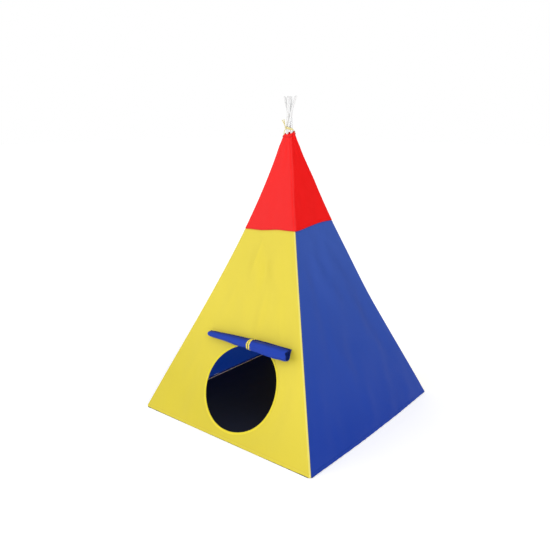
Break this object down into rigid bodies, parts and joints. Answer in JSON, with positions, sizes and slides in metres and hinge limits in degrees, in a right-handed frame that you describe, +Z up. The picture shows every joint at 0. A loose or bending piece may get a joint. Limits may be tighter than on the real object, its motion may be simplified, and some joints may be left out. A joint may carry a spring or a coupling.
{
  "type": "kids play teepee",
  "caption": "Pointed square play tent on jointed poles that cross above its neck, with a round door whose rolled flap is tied up over it, and a sewn-in floor.",
  "frame": {"origin": "middle of the base on the ground, under the crossing of the poles", "axes": "+Z up towards the pole tips, -Y out through the door, +X to the right seen from the front"},
  "size_m": [1, 1, 1.4553],
  "materials": {
    "yellow_cloth": "soft sheen",
    "blue_cloth": "soft sheen",
    "red_cloth": "soft sheen",
    "navy_cloth": "matte",
    "yellow_tape": "soft sheen",
    "edge_tape": "matte",
    "yellow_ribbon": "satin",
    "cream_ribbon": "satin",
    "white_plastic": "gloss"
  },
  "bodies": {
    "cover_and_floor": {"front_panel": "yellow_cloth", "back_panel": "yellow_cloth", "front_cap": "red_cloth", "back_cap": "red_cloth", "neck_casing": "red_cloth", "neck_tie": "cream_ribbon", "neck_tie_ends": "cream_ribbon", "floor_sheet": "navy_cloth", "floor_tape": "edge_tape", "door_binding": "yellow_tape"},
    "left_side": {"left_panel": "blue_cloth", "left_cap": "red_cloth", "front_left_pole_lower": "white_plastic", "front_left_pole_middle": "white_plastic", "front_left_pole_upper": "white_plastic", "front_left_lower_joiner": "white_plastic", "front_left_upper_joiner": "white_plastic", "front_left_tip_plug": "white_plastic", "front_left_foot_cap": "white_plastic", "front_left_corner_pocket": "yellow_cloth", "front_left_sleeve": "yellow_cloth", "back_left_pole_lower": "white_plastic", "back_left_pole_middle": "white_plastic", "back_left_pole_upper": "white_plastic", "back_left_lower_joiner": "white_plastic", "back_left_upper_joiner": "white_plastic", "back_left_tip_plug": "white_plastic", "back_left_foot_cap": "white_plastic", "back_left_corner_pocket": "blue_cloth", "back_left_sleeve": "blue_cloth"},
    "right_side": {"right_panel": "blue_cloth", "right_cap": "red_cloth", "front_right_pole_lower": "white_plastic", "front_right_pole_middle": "white_plastic", "front_right_pole_upper": "white_plastic", "front_right_lower_joiner": "white_plastic", "front_right_upper_joiner": "white_plastic", "front_right_tip_plug": "white_plastic", "front_right_foot_cap": "white_plastic", "front_right_corner_pocket": "blue_cloth", "front_right_sleeve": "blue_cloth", "back_right_pole_lower": "white_plastic", "back_right_pole_middle": "white_plastic", "back_right_pole_upper": "white_plastic", "back_right_lower_joiner": "white_plastic", "back_right_upper_joiner": "white_plastic", "back_right_tip_plug": "white_plastic", "back_right_foot_cap": "white_plastic", "back_right_corner_pocket": "yellow_cloth", "back_right_sleeve": "yellow_cloth"},
    "rolled_flap": {"door_flap": "blue_cloth", "door_tie": "yellow_ribbon"}
  },
  "joints": [
    {"name": "left_side_fold", "type": "hinge", "parent": "cover_and_floor", "child": "left_side", "pos_m": [0, 0, 1.35], "axis": [0, -1, 0], "range_deg": [0, 7.5], "deforming": ["neck_casing", "neck_tie", "neck_tie_ends", "floor_sheet", "floor_tape"]},
    {"name": "right_side_fold", "type": "hinge", "parent": "cover_and_floor", "child": "right_side", "pos_m": [0, 0, 1.35], "axis": [0, 1, 0], "range_deg": [0, 7.5], "deforming": ["neck_casing", "neck_tie", "neck_tie_ends", "floor_sheet", "floor_tape"]},
    {"name": "door_flap_swing", "type": "hinge", "parent": "cover_and_floor", "child": "rolled_flap", "pos_m": [0.044, -0.32069, 0.43175], "axis": [-1, 0, 0], "range_deg": [0, 75]}
  ],
  "couplings": [
    {"joint": "right_side_fold", "follows": "left_side_fold", "ratio": 1}
  ]
}
